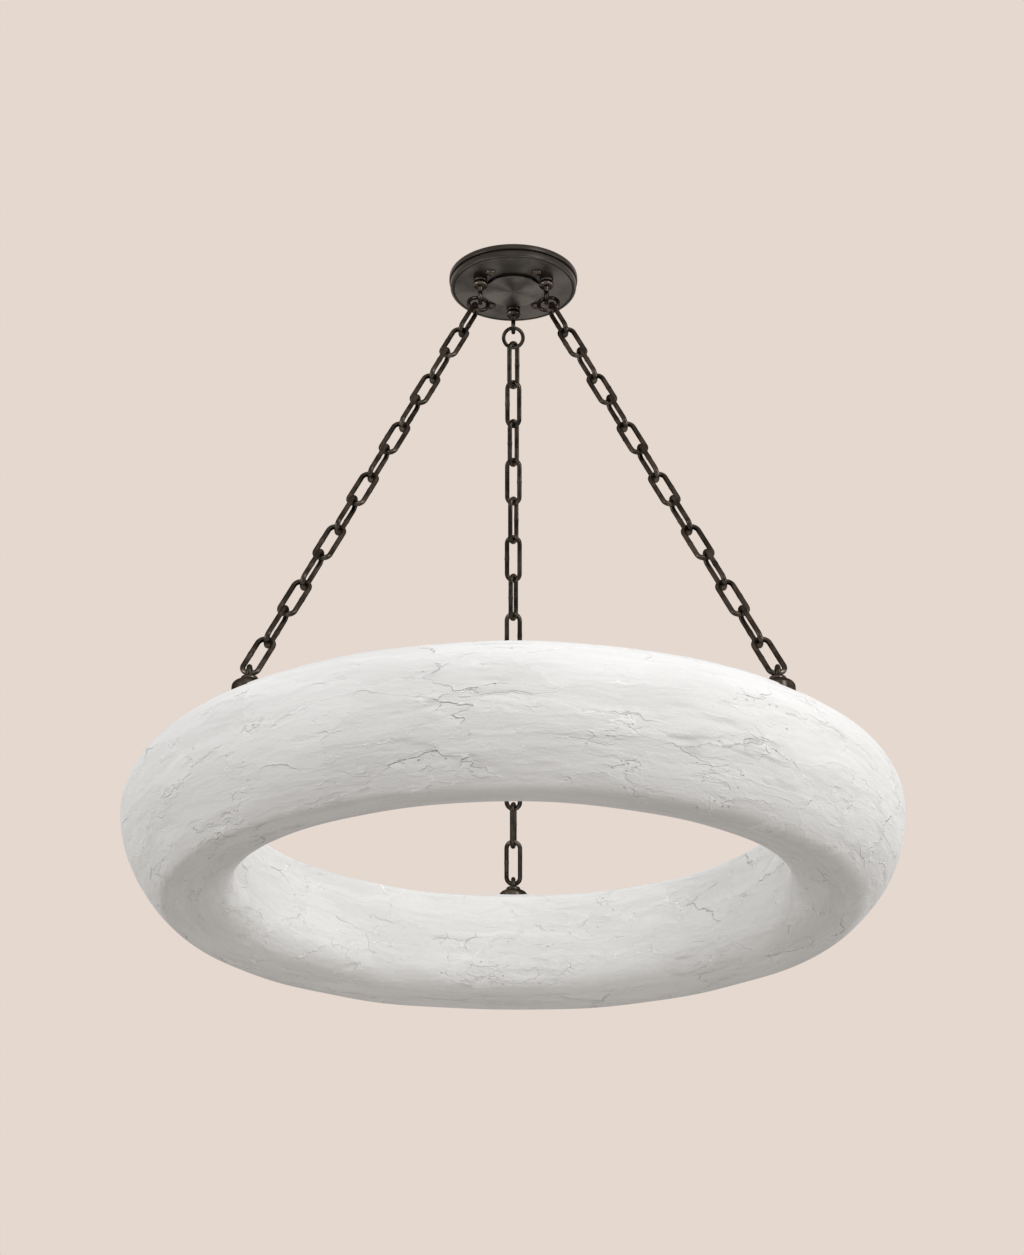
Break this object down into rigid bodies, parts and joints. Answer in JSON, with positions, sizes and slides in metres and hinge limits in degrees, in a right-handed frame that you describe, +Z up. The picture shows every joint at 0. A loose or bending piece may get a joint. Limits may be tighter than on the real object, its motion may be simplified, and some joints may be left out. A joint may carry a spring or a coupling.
{
  "type": "plaster ring chandelier",
  "caption": "Round plaster ring hung level by dark bronze chains from a stepped round ceiling canopy, with lamps in a trough in its top.",
  "frame": {"origin": "middle of the ceiling plane, on the canopy's upper face", "axes": "+Z up, the pictured front towards -Y"},
  "size_m": [0.914, 0.914, 0.8531],
  "materials": {
    "plaster": "matte",
    "dark_bronze": "satin",
    "zinc_steel": "satin",
    "porcelain": "gloss",
    "brass": "satin",
    "frosted_glass": "matte"
  },
  "bodies": {
    "canopy": {"canopy_dish": "dark_bronze", "centre_plate": "dark_bronze", "centre_plate_nut": "zinc_steel", "mounting_plate": "zinc_steel", "canopy_screws": "dark_bronze", "earth_screw": "brass", "hanger_nuts": "zinc_steel", "hanger_post_left": "dark_bronze", "hanger_post_right": "dark_bronze", "hanger_post_far": "dark_bronze"},
    "chain_left": {"chain_left": "dark_bronze", "hanging_ring_left": "dark_bronze"},
    "chain_right": {"chain_right": "dark_bronze", "hanging_ring_right": "dark_bronze"},
    "chain_far": {"chain_far": "dark_bronze", "hanging_ring_far": "dark_bronze"},
    "ring": {"plaster_ring": "plaster", "lamp_tray": "zinc_steel", "tray_screws": "zinc_steel", "eye_washers": "zinc_steel", "eye_nuts": "zinc_steel", "cap_left": "dark_bronze", "cap_right": "dark_bronze", "cap_far": "dark_bronze", "cap_eye_left": "dark_bronze", "cap_eye_right": "dark_bronze", "cap_eye_far": "dark_bronze", "lampholder_1": "porcelain", "lampholder_2": "porcelain", "lampholder_3": "porcelain", "lampholder_4": "porcelain", "lampholder_5": "porcelain", "lampholder_6": "porcelain"},
    "bulb_1": {"bulb_glass_1": "frosted_glass", "bulb_cap_1": "brass"},
    "bulb_2": {"bulb_glass_2": "frosted_glass", "bulb_cap_2": "brass"},
    "bulb_3": {"bulb_glass_3": "frosted_glass", "bulb_cap_3": "brass"},
    "bulb_4": {"bulb_glass_4": "frosted_glass", "bulb_cap_4": "brass"},
    "bulb_5": {"bulb_glass_5": "frosted_glass", "bulb_cap_5": "brass"},
    "bulb_6": {"bulb_glass_6": "frosted_glass", "bulb_cap_6": "brass"}
  },
  "joints": [
    {"name": "ring_sway", "type": "hinge", "parent": "canopy", "child": "ring", "pos_m": [0, 0, 0.05732], "axis": [0, 1, 0], "range_deg": [-4, 4]},
    {"name": "chain_left_swing", "type": "hinge", "parent": "canopy", "child": "chain_left", "pos_m": [-0.04119, -0.02592, -0.0477], "axis": [-0.1342, 0.93, -0.3422], "range_deg": [-5, 5]},
    {"name": "chain_right_swing", "type": "hinge", "parent": "canopy", "child": "chain_right", "pos_m": [0.04119, -0.02592, -0.0477], "axis": [0.1342, 0.93, -0.3422], "range_deg": [-5, 5]},
    {"name": "chain_far_swing", "type": "hinge", "parent": "canopy", "child": "chain_far", "pos_m": [0, 0.05062, -0.04734], "axis": [0, 0.8669, 0.4985], "range_deg": [-5, 5]},
    {"name": "bulb_1_turn", "type": "hinge", "parent": "ring", "child": "bulb_1", "pos_m": [0.369, 0, -0.8014], "axis": [0, 0, 1], "continuous": true},
    {"name": "bulb_2_turn", "type": "hinge", "parent": "ring", "child": "bulb_2", "pos_m": [0.1845, 0.31956, -0.8014], "axis": [0, 0, 1], "continuous": true},
    {"name": "bulb_3_turn", "type": "hinge", "parent": "ring", "child": "bulb_3", "pos_m": [-0.1845, 0.31956, -0.8014], "axis": [0, 0, 1], "continuous": true},
    {"name": "bulb_4_turn", "type": "hinge", "parent": "ring", "child": "bulb_4", "pos_m": [-0.369, 0, -0.8014], "axis": [0, 0, 1], "continuous": true},
    {"name": "bulb_5_turn", "type": "hinge", "parent": "ring", "child": "bulb_5", "pos_m": [-0.1845, -0.31956, -0.8014], "axis": [0, 0, 1], "continuous": true},
    {"name": "bulb_6_turn", "type": "hinge", "parent": "ring", "child": "bulb_6", "pos_m": [0.1845, -0.31956, -0.8014], "axis": [0, 0, 1], "continuous": true}
  ],
  "couplings": [
    {"joint": "chain_left_swing", "follows": "ring_sway", "ratio": 1.0859},
    {"joint": "chain_right_swing", "follows": "ring_sway", "ratio": 1.0859},
    {"joint": "chain_far_swing", "follows": "ring_sway", "ratio": 1.0115}
  ]
}
